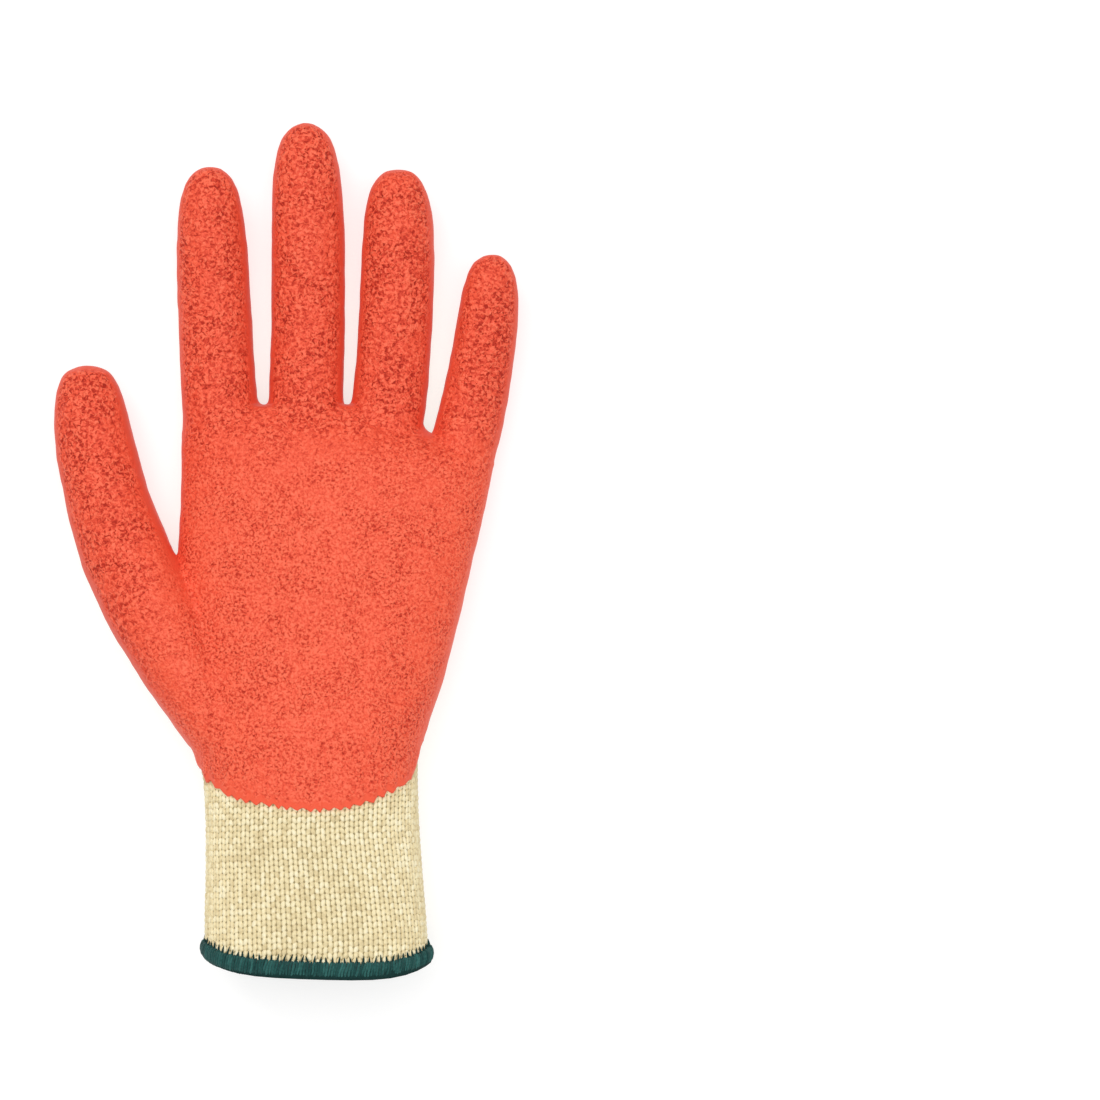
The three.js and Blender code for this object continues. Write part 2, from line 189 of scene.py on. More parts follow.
both = bmesh.new()
for shell in (hand_shell, cuff_shell):
    carrier = bpy.data.meshes.new("shell")
    shell.to_mesh(carrier)
    shell.free()
    both.from_mesh(carrier)
skin = piece("skin", both)
remesh = skin.modifiers.new("even faces", "REMESH")
remesh.mode = "VOXEL"
remesh.voxel_size = skin_voxel
smooth = skin.modifiers.new("no facets", "SMOOTH")
smooth.factor = 0.5
smooth.iterations = skin_passes
finished(skin)
print("skin:", len(skin.data.polygons), "faces")


# %% [markdown]
# ## Even sides
# Where the index finger's tube meets the palm the skin has a ridge at its side, and below the little
# finger's a dent. Both come from the solids' plain sections, and a small shift along X takes them out.

# %% Points and normals of the skin
# Where each spot lies, how far it reaches in X and Y and how far it is moved, all in millimetres
ridge_at_index = ((-32, 33.2), (8, 9), 1.05)
dent_at_little = ((61.5, 26.5), (6, 4), 0.35)


def vertex_array(mesh, what="co"):
    """The places or the normals of a mesh's vertices, one row for each"""
    values = np.empty(len(mesh.vertices) * 3)
    mesh.vertices.foreach_get(what, values)
    return values.reshape(-1, 3)


skin_points = vertex_array(skin.data)
for spot, reach, shift in (ridge_at_index, dent_at_little):
    off = abs(skin_points[:, :2] / mm - spot) / reach
    near = np.clip(1 - off, 0, 1).prod(axis=1)
    skin_points[:, 0] += shift * mm * near * near * (3 - 2 * near)
skin.data.vertices.foreach_set("co", skin_points.ravel())
skin.data.update()
skin_normals = vertex_array(skin.data, "normal")
print("skin box in mm:", (skin_points.min(0) / mm).round(1), (skin_points.max(0) / mm).round(1))

# %% [markdown]
# ## Where the coat ends
# The coat's solid says where the dip ended. Its outside faces the same way as the knit below it, and its
# rim stands across, so the line between outside and rim is the coat's edge. Every point of the skin then
# gets its distance to that line, counted as positive under the coat.

# %% The edge of the coat
rim_turn = 0.6  # a rim face's normal agrees less than this with the knit's
rim_far = 1.35 * mm
outside_far = 0.65 * mm  # the coat's outside lies further than this from the knit
edge_step = 0.3 * mm


def solid_tree(*names):
    """A search tree over the faces of some solids"""
    bm = bmesh.new()
    for name in names:
        bm.from_mesh(solids[name].data)
    tree = BVHTree.FromBMesh(bm)
    bm.free()
    return tree


knit_tree = solid_tree("knit_liner", "elastic_cuff")
coat_solid = merged_copy("latex_coat")
rim_faces = set()
outer_faces = []
for face in coat_solid.faces:
    _, knit_normal, _, distance = knit_tree.find_nearest(face.calc_center_median())
    if abs(face.normal.dot(knit_normal)) < rim_turn and distance < rim_far:
        rim_faces.add(face)
    elif distance > outside_far:
        outer_faces.append(face)
edge_samples = []
for face in outer_faces:
    for loop in face.loops:
        if any(other in rim_faces for other in loop.edge.link_faces):
            start = loop.vert.co
            along = loop.link_loop_next.vert.co - start
            into = face.normal.cross(along).normalized()
            steps = max(1, round(along.length / edge_step))
            edge_samples += [(start + along * ((i + 0.5) / steps), into) for i in range(steps)]
edge_tree = kdtree.KDTree(len(edge_samples))
for index, (point, _) in enumerate(edge_samples):
    edge_tree.insert(point, index)
edge_tree.balance()
coat_tree = BVHTree.FromBMesh(coat_solid)
coat_solid.free()
print("coat:", len(outer_faces), "outer faces, edge of", round(len(edge_samples) * edge_step, 2), "m")

# %% Distance under the coat
coat_out = 1.3 * mm
edge_reach = 2.6 * mm  # within this distance of the edge its own direction says which side a point is on
on_coat = 1.6 * mm  # and beyond it a point nearer to the coat than this is covered
spread_passes = 2
# Heights over the wrist: from the first on all that looks up was dipped, from the second on the sides too
thumb_side_dip = (12 * mm, 46 * mm)
little_side_dip = (4 * mm, 18 * mm)
side_turn = 0.35  # how far below level a side may look and still be dipped


def under_coat(point, normal):
    """Distance in from the coat's edge, negative where the knit is bare"""
    outside = point + normal * coat_out
    near, index, distance = edge_tree.find(outside)
    if distance < edge_reach:
        inside = (outside - near).dot(edge_samples[index][1])
    else:
        inside = edge_reach if coat_tree.find_nearest(outside)[3] < on_coat else -edge_reach
    start, end = little_side_dip if point.x > 0 else thumb_side_dip
    turn = 1 - (1 + side_turn) * smoothstep(start, end, point.y - wrist)
    if normal.z > turn:
        inside = max(inside, edge_reach * smoothstep(turn, turn + side_turn, normal.z))
    return inside


cover = np.array([under_coat(Vector(p), Vector(n)) for p, n in zip(skin_points, skin_normals)])
edges = np.empty(len(skin.data.edges) * 2, dtype=int)
skin.data.edges.foreach_get("vertices", edges)
edges = edges.reshape(-1, 2)
for _ in range(spread_passes):
    total = np.zeros(len(cover))
    count = np.zeros(len(cover))
    for a, b in (edges.T, edges.T[::-1]):
        np.add.at(total, a, cover[b])
        np.add.at(count, a, 1)
    cover = 0.5 * cover + 0.5 * total / np.maximum(count, 1)
print("covered share of the skin:", round(float((cover > 0).mean()), 3))

# %% [markdown]
# ## The rubber coat
# The coat is a skin of its own over the knit. It starts as a copy of the covered skin, gets finer faces,
# is cut along the edge line and pushed out to its thickness, which thins towards the edge. Across the
# wrist the edge ends in small leaning teeth, where the rubber crept down along the knit's columns, and
# elsewhere it waves a little. The mesh has the crinkle's larger bumps, and the material adds the finest.

# %% A finer copy of the covered skin
tooth_pitch = 3.0 * mm
tooth_depth = 1.6 * mm
tooth_lean = 0.62  # share of a tooth's width before its point
tooth_zone = 14 * mm  # the teeth are cut only where the edge runs across the wrist
tooth_fade = 4 * mm
drift = 0.35  # the teeth shift to and fro by up to this share of their pitch
drift_size = 6 * mm
mean_tooth, tooth_range, range_size = 0.75, 0.5, 7 * mm
edge_wave, wave_size = 0.35 * mm, 5 * mm
kept_margin = 2.5 * mm  # the copy goes on this far past the edge
fine_band = 2.0 * mm  # and has finer faces still within this distance of it


def tooth(x):
    """A leaning saw tooth from -0.5 to 0.5"""
    share = (x / tooth_pitch + drift * noise.noise(Vector((x / drift_size, 0, 0)))) % 1
    return (share / tooth_lean if share < tooth_lean else (1 - share) / (1 - tooth_lean)) - 0.5


def at_wrist(point):
    """1 where the coat's edge runs across the wrist, 0 elsewhere"""
    return smoothstep(wrist + tooth_zone, wrist + tooth_zone - tooth_fade, point.y)


def edge_uneven(point):
    """How far the coat's edge departs from its smooth line at a place"""
    wave = edge_wave * noise.noise(point / wave_size)
    size = mean_tooth + tooth_range * noise.noise(point / range_size)
    return wave + at_wrist(point) * size * tooth_depth * tooth(point.x)


coat_mesh = bmesh.new()
coat_mesh.from_mesh(skin.data)
depth = coat_mesh.verts.layers.float.new("depth")
for vert, value in zip(coat_mesh.verts, cover):
    vert[depth] = value
far = [face for face in coat_mesh.faces if all(vert[depth] < -kept_margin for vert in face.verts)]
bmesh.ops.delete(coat_mesh, geom=far, context="FACES")
bmesh.ops.subdivide_edges(coat_mesh, edges=coat_mesh.edges[:], cuts=1, smooth=0.6, use_grid_fill=True)
toothed = [
    edge
    for edge in coat_mesh.edges
    if all(at_wrist(vert.co) > 0 and abs(vert[depth]) < fine_band for vert in edge.verts)
]
bmesh.ops.subdivide_edges(coat_mesh, edges=toothed, cuts=1, use_grid_fill=True)
for vert in coat_mesh.verts:
    vert[depth] += edge_uneven(vert.co)
print("coat before the cut:", len(coat_mesh.faces), "faces")


# %% The cut along the edge
def cut_at_zero(bm, layer):
    """Cuts away what has a value below 0, along a clean line"""
    band = [f for f in bm.faces if min(v[layer] for v in f.verts) < 0 < max(v[layer] for v in f.verts)]
    bmesh.ops.triangulate(bm, faces=band)
    for edge in bm.edges:
        inner, outer = sorted(edge.verts, key=lambda vert: -vert[layer])
        if inner[layer] > 0 > outer[layer]:
            share = inner[layer] / (inner[layer] - outer[layer])
            moved = inner if share < 0.5 else outer
            moved.co = inner.co.lerp(outer.co, share)
            moved[layer] = 0
    gone = [face for face in bm.faces if min(vert[layer] for vert in face.verts) < 0]
    bmesh.ops.delete(bm, geom=gone, context="FACES")
    stray = [face for island in islands(bm)[1:] for face in island]
    bmesh.ops.delete(bm, geom=stray, context="FACES")
    bm.normal_update()


cut_at_zero(coat_mesh, depth)
print("coat after the cut:", len(coat_mesh.faces), "faces")

# %% Thickness and crinkle
coat_thick = 1.25 * mm
coat_edge_thick = 0.7 * mm
edge_taper = 3 * mm
worm_size = 1.9 * mm
worm_height = 0.17 * mm
worm_flank = 5  # the greater this is, the narrower the ridges are
bend_size, bend_share = 2.6 * mm, 0.45
swell_size = 5 * mm
swell_height = 0.12 * mm
floor_gap = 0.02 * mm
fingers_from, fingers_full = 8 * mm, 44 * mm  # along Y
thumb_from, thumb_full = -26 * mm, -46 * mm  # along X
palm_grip_turn, finger_grip_turn, full_grip_turn = 0.2, 0.4, 0.7  # the grip is on what looks up
grip_from_body = 0.3  # and not on the thin edge


def on_fingers(point):
    """1 on the fingers and the thumb, 0 on the palm"""
    finger = smoothstep(fingers_from, fingers_full, point.y)
    return max(finger, smoothstep(thumb_from, thumb_full, point.x))


def crinkle(point):
    """Height of the larger crinkle between -1 and 1"""
    bend = noise.noise_vector(point / bend_size) * bend_share
    return max(-1, 1 - worm_flank * abs(noise.noise(point / worm_size + bend)))


noise.seed_set(1)  # so that noise_vector gives the same bends each run
grip = coat_mesh.verts.layers.float.new("grip")
worms = coat_mesh.verts.layers.float.new("worms")
pushed = []
for vert in coat_mesh.verts:
    body = smoothstep(0, edge_taper, vert[depth])
    vert[worms] = on_fingers(vert.co)
    grip_turn = palm_grip_turn + (finger_grip_turn - palm_grip_turn) * vert[worms]
    vert[grip] = smoothstep(grip_turn, full_grip_turn, vert.normal.z) * smoothstep(grip_from_body, 1, body)
    out = coat_edge_thick + (coat_thick - coat_edge_thick) * body
    out += swell_height * body * noise.noise(vert.co / swell_size)
    out += worm_height * vert[worms] * vert[grip] * crinkle(vert.co)
    pushed.append(vert.co + vert.normal * out)
for vert, place in zip(coat_mesh.verts, pushed):
    vert.co = place
    vert.co.z = max(vert.co.z, floor_gap)

# %% The rim that turns in to the knit
rim_drop = 0.95 * mm
rim_edges = [edge for edge in coat_mesh.edges if len(edge.link_faces) == 1]
rim_normals = {tuple(vert.co): vert.normal.copy() for edge in rim_edges for vert in edge.verts}
rim = bmesh.ops.extrude_edge_only(coat_mesh, edges=rim_edges)["geom"]
for vert in (item for item in rim if isinstance(item, bmesh.types.BMVert)):
    vert.co -= rim_normals.get(tuple(vert.co), Vector((0, 0, 0))) * rim_drop
    vert.co.z = max(vert.co.z, floor_gap)
coat_mesh.normal_update()
coat_piece = piece("rubber_coat", coat_mesh)
print("rubber coat:", len(coat_piece.data.polygons), "faces")

# %% [markdown]
# ## The knit under the stitches
# Below the stitches lies a plain wall: the skin, sunk a little and given its thickness with Solidify. The
# hand and the cuff are parted at the wrist, as in the solids. The remesh has closed the mouth with a lid,
# which is taken out again, and the cuff is cut along the line of the mouth.

# %% Walls of the hand and the cuff
wall_sink = 0.45 * mm
wall_thick = 1.0 * mm
wall_floor = 0.35 * mm
mouth_tuck = 0.9 * mm  # the wall ends this far inside the hem
lid_turn = 0.5  # the lid's normals point out of the mouth more than this
lid_end = cuff_low[1] + 9 * mm


def is_lid(face):
    """Whether a face closes the mouth"""
    return face.normal.y < -lid_turn and face.calc_center_median().y < lid_end


def open_mouth(bm):
    """Takes the lid out of the mouth"""
    bmesh.ops.delete(bm, geom=[face for face in bm.faces if is_lid(face)], context="FACES")


def parted(bm, direction):
    """Cuts a wall off at the wrist, on the side that direction points to"""
    geometry = bm.verts[:] + bm.edges[:] + bm.faces[:]
    bmesh.ops.bisect_plane(
        bm,
        geom=geometry,
        plane_co=(0, wrist, 0),
        plane_no=(0, direction, 0),
        clear_outer=True,
    )


def wall(name, bm):
    """An open skin, sunk under the stitches and made a wall"""
    bm.normal_update()
    sunk = [vert.co - vert.normal * wall_sink for vert in bm.verts]
    for vert, place in zip(bm.verts, sunk):
        vert.co = place
        vert.co.z = max(vert.co.z, wall_floor)
    obj = piece(name, bm)
    solidify = obj.modifiers.new("thickness", "SOLIDIFY")
    solidify.thickness = wall_thick
    solidify.offset = -1
    return finished(obj)


hand_mesh = bmesh.new()
hand_mesh.from_mesh(skin.data)
parted(hand_mesh, -1)
hand_wall = wall("knit_hand", hand_mesh)
cuff_mesh = bmesh.new()
cuff_mesh.from_mesh(skin.data)
parted(cuff_mesh, 1)
open_mouth(cuff_mesh)
in_cuff = cuff_mesh.verts.layers.float.new("in_cuff")
for vert in cuff_mesh.verts:
    vert[in_cuff] = vert.co.y - mouth_line(vert.co.x) - mouth_tuck
cut_at_zero(cuff_mesh, in_cuff)
cuff_wall = wall("knit_cuff", cuff_mesh)
print("walls:", len(hand_wall.data.polygons), "and", len(cuff_wall.data.polygons), "faces")

# %% [markdown]
# ## Stitches
# A plain knit shows columns of small arrowheads, each made of two legs of yarn that meet towards the
# fingertips. One leg is a ball drawn out into a grain. It is copied along rows that run round the cuff,
# the hand, the thumb and each finger, and every copy is turned to the surface it lies on. Columns keep
# their number from one end of a tube to the other, so the stitches widen where the knit is stretched. A
# row is found by rays from the tube's axis. The lowest rows slant across the mouth, so for them the skin
# is drawn out past it, as a brim.

# %% The skin that the rays meet
brim_length = 9 * mm
skin_mesh = bmesh.new()
skin_mesh.from_mesh(skin.data)
open_mouth(skin_mesh)
brim_edges = [edge for edge in skin_mesh.edges if len(edge.link_faces) == 1]
brim = bmesh.ops.extrude_edge_only(skin_mesh, edges=brim_edges)["geom"]
brim_verts = [item for item in brim if isinstance(item, bmesh.types.BMVert)]
bmesh.ops.translate(skin_mesh, verts=brim_verts, vec=(0, -brim_length, 0))
skin_tree = BVHTree.FromBMesh(skin_mesh)
skin_mesh.free()
print("brim:", len(brim_verts), "points")

# %% Rows round a tube
rays_round = 320
on_skin = 1.6 * mm  # a place of a row lies no further than this from the skin


def row_round(centre, direction, columns, reach):
    """Evenly spaced places on the skin round one place of a tube's axis, and their pitch"""
    side = direction.cross(Vector((0, 0, 1))).normalized()
    over = side.cross(direction).normalized()
    ring = []
    for i in range(rays_round):
        angle = 2 * math.pi * i / rays_round
        way = side * math.cos(angle) + over * math.sin(angle)
        met, _, _, distance = skin_tree.ray_cast(centre, way)
        ring.append(met if met is not None and distance < reach else centre + way * reach)
    lengths = [(ring[(i + 1) % rays_round] - ring[i]).length for i in range(rays_round)]
    pitch = sum(lengths) / columns
    places = []
    walked = 0
    wanted = pitch / 2
    for i, length in enumerate(lengths):
        while wanted < walked + length and len(places) < columns:
            share = (wanted - walked) / length
            places.append(ring[i].lerp(ring[(i + 1) % rays_round], share))
            wanted += pitch
        walked += length
    return [place for place in places if skin_tree.find_nearest(place)[3] < on_skin], pitch


def stitches_on(axis, columns, course, reach, keep):
    """Stitches along a tube where keep allows them, each as its place, column direction and size"""
    found = []
    line = [Vector(point) * mm for point in axis]
    spans = [b - a for a, b in zip(line, line[1:])]
    turns = [spans[0], *[a.normalized() + b.normalized() for a, b in zip(spans, spans[1:])], spans[-1]]
    walked = 0
    while walked < sum(span.length for span in spans):
        number = 0
        left = walked
        while left > spans[number].length:
            left -= spans[number].length
            number += 1
        share = left / spans[number].length
        ahead = turns[number].normalized().lerp(turns[number + 1].normalized(), share).normalized()
        places, pitch = row_round(line[number].lerp(line[number + 1], share), ahead, columns, reach)
        found += [(place, ahead, pitch, course) for place in places if keep(place)]
        walked += course
    return found


# %% Axes of the tubes
# Points of each tube's axis in millimetres, from the cuff to the tip.
cuff_axis = [(9.47, -123.64, 22.69), (8.3, -96, 19.6), (7.3, -68.9, 18)]
palm_axis = [(7.3, -68.9, 18), (6.9, -50, 17), (9.5, -22, 15), (13.4, 11, 13.3), (14.5, 38, 11.4)]
knuckle_axis = [(14.5, 30, 11.6), (13, 50, 11.3)]
thumb_axis = [
    (-27, -38, 17),
    (-40.3, -17.2, 17.7),
    (-47.7, -1.1, 17),
    (-52.8, 13.9, 16.7),
    (-56.1, 28.1, 16.7),
    (-57.7, 38.6, 17),
    (-58.4, 46, 17.5),
]
finger_heights = (11, 11.1, 11.5, 12.8, 14.8)
index_points = [(-19.8, 28), (-20.1, 42.3), (-20.9, 56.1), (-21.6, 72.2), (-22.1, 86.8)]
middle_points = [(4.8, 28), (5.4, 44.2), (5.9, 60.2), (6.2, 78.9), (6.2, 95.8)]
ring_points = [(28.6, 28), (30, 42.2), (31.3, 55.9), (32.3, 71.9), (32.8, 86.3)]
little_points = [(51.6, 26), (53, 33.5), (55.4, 43.8), (57.7, 56), (59.2, 66.9)]
index_axis, middle_axis, ring_axis, little_axis = (
    [(x, y, z) for (x, y), z in zip(points, finger_heights)]
    for points in (index_points, middle_points, ring_points, little_points)
)
print("the middle finger's axis:", middle_axis)

# %% Where the knit shows
hidden_from = 1.2 * mm  # stitches deeper under the coat than this are left out
hem_height = 2.9 * mm  # and so are those under the hem
# Along Y, the rows of the thumb and of the fingers begin at these roots
thumb_root = -24 * mm
finger_root = 42.4 * mm
little_root = 34 * mm
little_side = 43 * mm  # the little finger's side begins here along X
root_overlap = 2.5 * mm  # rows start this far below a root, wherever the rows before left room
stitch_room = 0.95 * mm  # a stitch less than this from another would lie on top of it

cover_tree = kdtree.KDTree(len(skin_points))
for index, point in enumerate(skin_points):
    cover_tree.insert(point, index)
cover_tree.balance()


def shows(place):
    """Whether the knit is bare at a place"""
    return cover[cover_tree.find(place)[1]] < hidden_from


def on_cuff(place):
    """Whether a place is bare and above the hem"""
    return shows(place) and place.y > mouth_line(place.x) + hem_height


def on_hand(place):
    """Whether a place is bare and below the little finger's root"""
    return shows(place) and place.y < little_root


def clear_of(stitches, root):
    """A test for bare places above a root that no earlier stitch covers"""
    taken = kdtree.KDTree(len(stitches))
    for number, stitch in enumerate(stitches):
        taken.insert(stitch[0], number)
    taken.balance()
    return lambda place: shows(place) and place.y > root and taken.find(place)[2] > stitch_room


# %% Rows of stitches
cuff_course = 1.75 * mm
hand_course = 1.5 * mm
cuff_columns = 58
hand_columns = 72
knuckle_columns = 56
thumb_columns = 22
finger_columns = 19
whole = 100 * mm  # rays reach the skin from the middle of the hand
thumb_reach = 19 * mm  # but mustn't run on into the palm from the middle of the thumb or a finger
finger_reach = 12.5 * mm

cuff_stitches = stitches_on(cuff_axis, cuff_columns, cuff_course, whole, on_cuff)
hand_stitches = stitches_on(palm_axis, hand_columns, hand_course, whole, on_hand)
above_hand = clear_of(hand_stitches, little_root - root_overlap)


def on_knuckles(place):
    """Whether a place is bare and free, below the roots of the three longer fingers"""
    return place.y < finger_root and place.x < little_side and above_hand(place)


hand_stitches += stitches_on(knuckle_axis, knuckle_columns, hand_course, whole, on_knuckles)
above_thumb_root = clear_of(hand_stitches, thumb_root)
above_fingers_root = clear_of(hand_stitches, finger_root - root_overlap)
above_little_root = clear_of(hand_stitches, little_root - root_overlap)
finger_stitches = stitches_on(thumb_axis, thumb_columns, hand_course, thumb_reach, above_thumb_root)
for axis in (index_axis, middle_axis, ring_axis):
    finger_stitches += stitches_on(axis, finger_columns, hand_course, finger_reach, above_fingers_root)
finger_stitches += stitches_on(little_axis, finger_columns, hand_course, finger_reach, above_little_root)
print("stitches:", len(cuff_stitches), len(hand_stitches), len(finger_stitches))

# %% One leg of a stitch
leg_turn = math.radians(17)
leg_width = 0.53  # as shares of the column's width
leg_height = 0.36
leg_length = 1.34  # as a share of the row's height
leg_apart = 0.25
leg_sink = 0.42 * mm
length_scatter = 0.05  # the legs differ a little in length, in turn (radians) and in height
turn_scatter = 0.05
rise_scatter = 0.035
yarn_floor = 0.05 * mm


def yarn_leg():
    """A grain of length and width 1 along Y, as its points and its faces"""
    bm = bmesh.new()
    bmesh.ops.create_uvsphere(bm, u_segments=6, v_segments=4, radius=0.5)
    bmesh.ops.rotate(bm, verts=bm.verts[:], matrix=Matrix.Rotation(math.pi / 2, 3, "X"))
    bmesh.ops.triangulate(bm, faces=bm.faces[:])
    points = np.array([vert.co[:] for vert in bm.verts])
    faces = np.array([[vert.index for vert in face.verts] for face in bm.faces])
    bm.free()
    return points, faces


grain, grain_faces = yarn_leg()
print("one leg:", len(grain_faces), "faces")


# %% The stitches' yarn
def turned(points, angle):
    """Points turned in the plane of the surface"""
    x = points[:, 0] * math.cos(angle) - points[:, 1] * math.sin(angle)
    y = points[:, 0] * math.sin(angle) + points[:, 1] * math.cos(angle)
    return np.stack([x, y, points[:, 2]], axis=1)


def set_shades(mesh, shades):
    """Keeps a shade for each vertex, which the yarn's material reads"""
    layer = mesh.attributes.new("shade", "FLOAT", "POINT")
    layer.data.foreach_set("value", np.asarray(shades, dtype=np.float32))


def yarn_piece(name, stitches, rng):
    """All of a tube's stitches as one piece"""
    points = []
    faces = []
    shades = []
    for place, ahead, pitch, course in stitches:
        spot, normal, _, _ = skin_tree.find_nearest(place)
        side = ahead.cross(normal).normalized()
        along = normal.cross(side).normalized()
        surface = np.array([side[:], along[:], normal[:]])
        for hand in (-1, 1):
            size = 1 + rng.normal(0, length_scatter)
            leg = grain * (leg_width * pitch, leg_length * course * size, leg_height * pitch)
            leg = turned(leg, hand * leg_turn + rng.normal(0, turn_scatter))
            leg += (-hand * leg_apart * pitch, 0, rng.normal(0, rise_scatter) * mm - leg_sink)
            faces.append(grain_faces + len(points) * len(grain))
            points.append(leg @ surface + np.array(spot[:]))
            shades.append(np.full(len(grain), rng.random()))
    points = np.concatenate(points)
    faces = np.concatenate(faces)
    points[:, 2] = np.maximum(points[:, 2], yarn_floor)
    mesh = bpy.data.meshes.new(name)
    mesh.vertices.add(len(points))
    mesh.vertices.foreach_set("co", points.ravel())
    mesh.loops.add(faces.size)
    mesh.loops.foreach_set("vertex_index", faces.ravel())
    mesh.polygons.add(len(faces))
    mesh.polygons.foreach_set("loop_start", np.arange(0, faces.size, 3))
    set_shades(mesh, np.concatenate(shades))
    mesh.update(calc_edges=True)
    mesh.validate()
    mesh.shade_smooth()
    print(name, len(mesh.polygons), "faces")
    return placed(name, mesh)


yarn_rng = np.random.default_rng(7)
cuff_yarn = yarn_piece("cuff_stitches", cuff_stitches, yarn_rng)
hand_yarn = yarn_piece("hand_stitches", hand_stitches, yarn_rng)
finger_yarn = yarn_piece("finger_stitches", finger_stitches, yarn_rng)

# %% [markdown]
# ## The overlocked hem
# The cuff's mouth is bound by overlock thread: loop beside loop of dark teal yarn wrapped over the edge,
# with single needle threads that reach up into the knit as small dark points. Each thread is a curve with
# a round bevel that follows the hem's section, and all of them are made one mesh. The hem's own solid,
# drawn in a little, fills the space behind them.

# %% Places round the mouth
hem_row = cuff_low[1] + 6 * mm
hem_centre = Vector((8.9 * mm, hem_row, 21.8 * mm))


def mouth_places(count):
    """Evenly spaced places on the skin round the mouth, with the direction out of it at each"""
    places, _ = row_round(hem_centre, Vector((0, 1, 0)), count, whole)
    found = []
    for place in places:
        normal = skin_tree.find_nearest(place)[1]
        found.append((place, Vector((normal.x, 0, normal.z)).normalized()))
    return found


def hem_spot(place, out_way, rise, out, aside):
    """A place at a height over the raw edge and a distance out from the knit"""
    round_way = Vector((0, 1, 0)).cross(out_way)
    foot = Vector((place.x, mouth_line(place.x) + rise, place.z))
    return foot + out_way * out + round_way * aside


def threads(name, routes, radius):
    """Threads along routes of places and widths, as one mesh with a shade for each thread"""
    curve = bpy.data.curves.new(name, "CURVE")
    curve.dimensions = "3D"
    curve.bevel_depth = radius
    curve.bevel_resolution = 1
    curve.use_fill_caps = True
    for route in routes:
        spline = curve.splines.new("POLY")
        spline.points.add(len(route) - 1)
        for point, (spot, width) in zip(spline.points, route):
            point.co = (*spot, 1)
            point.radius = width
    drawn = placed(name, curve)
    graph = bpy.context.evaluated_depsgraph_get()
    mesh = bpy.data.meshes.new_from_object(drawn.evaluated_get(graph))
    bpy.data.objects.remove(drawn)
    places = vertex_array(mesh)
    places[:, 2] = np.maximum(places[:, 2], yarn_floor)
    mesh.vertices.foreach_set("co", places.ravel())
    each = len(mesh.vertices) // len(routes)
    set_shades(mesh, np.repeat(hem_rng.random(len(routes)), each))
    mesh.shade_smooth()
    print(name, len(routes), "threads,", len(mesh.polygons), "faces")
    return placed(name, mesh)


# %% Loops of the hem
hem_rng = np.random.default_rng(3)
loop_count = 216
loop_radius = 0.44 * mm
loop_slant = 0.9 * mm
slant_height = 4  # over which a loop leans by loop_slant, in millimetres
loop_wander = 0.45 * mm
wander_steps = (0.31, 0.45)  # from loop to loop and from point to point
lift_scatter = 0.1
swell_scatter = 0.07
width_scatter = 0.08
end_width = 0.7
# Height over the knit's raw edge and distance out from the knit's outside, in millimetres
loop_path = [
    (4.05, 0.1),
    (3.75, 0.8),
    (2.9, 1.2),
    (1.8, 1.3),
    (0.7, 1.1),
    (-0.15, 0.5),
    (-0.5, -0.6),
    (-0.15, -1.7),
    (0.7, -2.2),
    (1.8, -2.35),
    (2.9, -2.2),
    (3.7, -1.7),
]
loop_routes = []
for index, (place, out_way) in enumerate(mouth_places(loop_count)):
    lift = hem_rng.normal(0, lift_scatter)
    swell = hem_rng.normal(0, swell_scatter)
    route = []
    for number, (rise, out) in enumerate(loop_path):
        place_in_noise = (index * wander_steps[0], number * wander_steps[1], 0)
        wander = noise.noise(Vector(place_in_noise)) * loop_wander
        aside = loop_slant * (rise / slant_height - 0.5) + wander
        rise += lift if number < 2 else 0
        out += swell if out > 0.5 else 0
        is_end = number in (0, len(loop_path) - 1)
        width = end_width if is_end else 1 + hem_rng.normal(0, width_scatter)
        route.append((hem_spot(place, out_way, rise * mm, out * mm, aside), width))
    loop_routes.append(route)
hem_loops = threads("hem_threads", loop_routes, loop_radius)

# %% Needle threads over the hem
needle_count = 98
needle_radius = 0.34 * mm
mean_tall, tall_scatter = 1.7, 0.25  # how far a needle thread stands over the hem, in millimetres
mean_lean, lean_scatter = 0.15, 0.3
# Height over the raw edge, share of the thread's own height on top of it, distance out, share of the lean
# and width
needle_path = [
    (3.3, 0, 0.75, 0, 1),
    (4.2, 0, 0.4, 0.1, 1),
    (4.2, 0.55, 0.22, 0.6, 0.7),
    (4.2, 1, 0.1, 1, 0.12),
]
needle_routes = []
for place, out_way in mouth_places(needle_count):
    tall = mean_tall + hem_rng.normal(0, tall_scatter)
    lean = hem_rng.normal(mean_lean, lean_scatter)
    needle_routes.append(
        [
            (hem_spot(place, out_way, (rise + tall * up) * mm, out * mm, aside * lean * mm), width)
            for rise, up, out, aside, width in needle_path
        ]
    )
needle_threads = threads("needle_threads", needle_routes, needle_radius)

# %% Core of the hem
# The core's dark colour, given with the materials, is painted shade behind the loops.
core_sink = 0.5 * mm
core_mesh = merged_copy("overlock_hem")
bmesh.ops.subdivide_edges(core_mesh, edges=core_mesh.edges[:], cuts=1, use_grid_fill=True)
core_places = [vert.co - vert.normal * core_sink for vert in core_mesh.verts]
for vert, place in zip(core_mesh.verts, core_places):
    vert.co = place
hem_core = piece("hem_core", core_mesh)
print("hem core:", len(hem_core.data.polygons), "faces")
